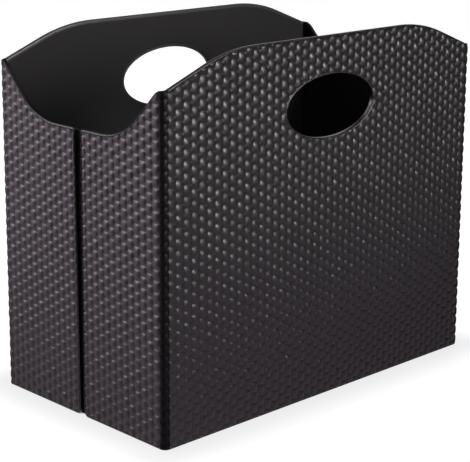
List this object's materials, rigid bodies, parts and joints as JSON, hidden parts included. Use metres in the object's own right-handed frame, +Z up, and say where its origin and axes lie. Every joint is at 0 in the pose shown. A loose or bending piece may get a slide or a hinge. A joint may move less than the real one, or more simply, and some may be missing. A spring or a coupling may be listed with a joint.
{
  "type": "magazine basket",
  "caption": "Fold-flat rectangular magazine basket in woven-embossed black leather over board, with curved top edges and an oval hand hole in each long wall.",
  "frame": {"origin": "middle of the footprint, on the surface the basket stands on", "axes": "+X along the long walls, +Y from the front wall to the back wall, +Z up"},
  "size_m": [0.36, 0.2, 0.302],
  "materials": {
    "woven_leather": "semi-gloss, embossed plain weave",
    "corner_leather": "semi-gloss",
    "stiff_board": "matte grey board",
    "lining_cloth": "matte black",
    "hinge_cloth": "matte black"
  },
  "bodies": {
    "front_wall": {"front_wall_board": "stiff_board", "front_wall_cover": "woven_leather", "front_wall_lining": "lining_cloth", "front_hand_hole_sleeve": "corner_leather", "front_left_corner": "corner_leather", "front_right_corner": "corner_leather", "front_base_tape": "hinge_cloth"},
    "left_front": {"left_front_board": "stiff_board", "left_front_cover": "woven_leather", "left_front_lining": "lining_cloth", "left_fold_strip": "hinge_cloth", "left_gusset": "hinge_cloth"},
    "left_rear": {"left_rear_board": "stiff_board", "left_rear_cover": "woven_leather", "left_rear_lining": "lining_cloth"},
    "back_wall": {"back_wall_board": "stiff_board", "back_wall_cover": "woven_leather", "back_wall_lining": "lining_cloth", "back_hand_hole_sleeve": "corner_leather", "back_left_corner": "corner_leather", "back_right_corner": "corner_leather", "back_base_tape": "hinge_cloth"},
    "right_front": {"right_front_board": "stiff_board", "right_front_cover": "woven_leather", "right_front_lining": "lining_cloth", "right_fold_strip": "hinge_cloth", "right_gusset": "hinge_cloth"},
    "right_rear": {"right_rear_board": "stiff_board", "right_rear_cover": "woven_leather", "right_rear_lining": "lining_cloth"},
    "front_base": {"front_base_board": "stiff_board", "front_base_cloth": "lining_cloth"},
    "back_base": {"back_base_board": "stiff_board", "back_base_cloth": "lining_cloth"}
  },
  "joints": [
    {"name": "left_front_fold", "type": "hinge", "parent": "front_wall", "child": "left_front", "pos_m": [-0.1749, -0.0949, 0], "axis": [0, 0, -1], "range_deg": [0, 88], "deforming": ["front_left_corner"]},
    {"name": "left_groove_fold", "type": "hinge", "parent": "left_front", "child": "left_rear", "pos_m": [-0.1803, 0, 0], "axis": [0, 0, 1], "range_deg": [0, 176], "deforming": ["left_fold_strip", "left_gusset"]},
    {"name": "left_rear_fold", "type": "hinge", "parent": "left_rear", "child": "back_wall", "pos_m": [-0.1749, 0.0949, 0], "axis": [0, 0, -1], "range_deg": [0, 88], "deforming": ["back_left_corner"]},
    {"name": "right_front_fold", "type": "hinge", "parent": "front_wall", "child": "right_front", "pos_m": [0.1749, -0.0949, 0], "axis": [0, 0, 1], "range_deg": [0, 88], "deforming": ["front_right_corner"]},
    {"name": "right_groove_fold", "type": "hinge", "parent": "right_front", "child": "right_rear", "pos_m": [0.1803, 0, 0], "axis": [0, 0, -1], "range_deg": [0, 176], "deforming": ["right_fold_strip", "right_gusset", "back_right_corner"]},
    {"name": "front_base_fold", "type": "hinge", "parent": "front_wall", "child": "front_base", "pos_m": [0, -0.0958, 0.003], "axis": [1, 0, 0], "range_deg": [0, 88], "deforming": ["front_base_tape"]},
    {"name": "back_base_fold", "type": "hinge", "parent": "back_wall", "child": "back_base", "pos_m": [0, 0.0958, 0.003], "axis": [-1, 0, 0], "range_deg": [0, 88], "deforming": ["back_base_tape"]}
  ],
  "couplings": [
    {"joint": "left_groove_fold", "follows": "left_front_fold", "ratio": 2},
    {"joint": "left_rear_fold", "follows": "left_front_fold", "ratio": 1},
    {"joint": "right_front_fold", "follows": "left_front_fold", "ratio": 1},
    {"joint": "right_groove_fold", "follows": "left_front_fold", "ratio": 2},
    {"joint": "front_base_fold", "follows": "left_front_fold", "ratio": 1},
    {"joint": "back_base_fold", "follows": "left_front_fold", "ratio": 1}
  ]
}
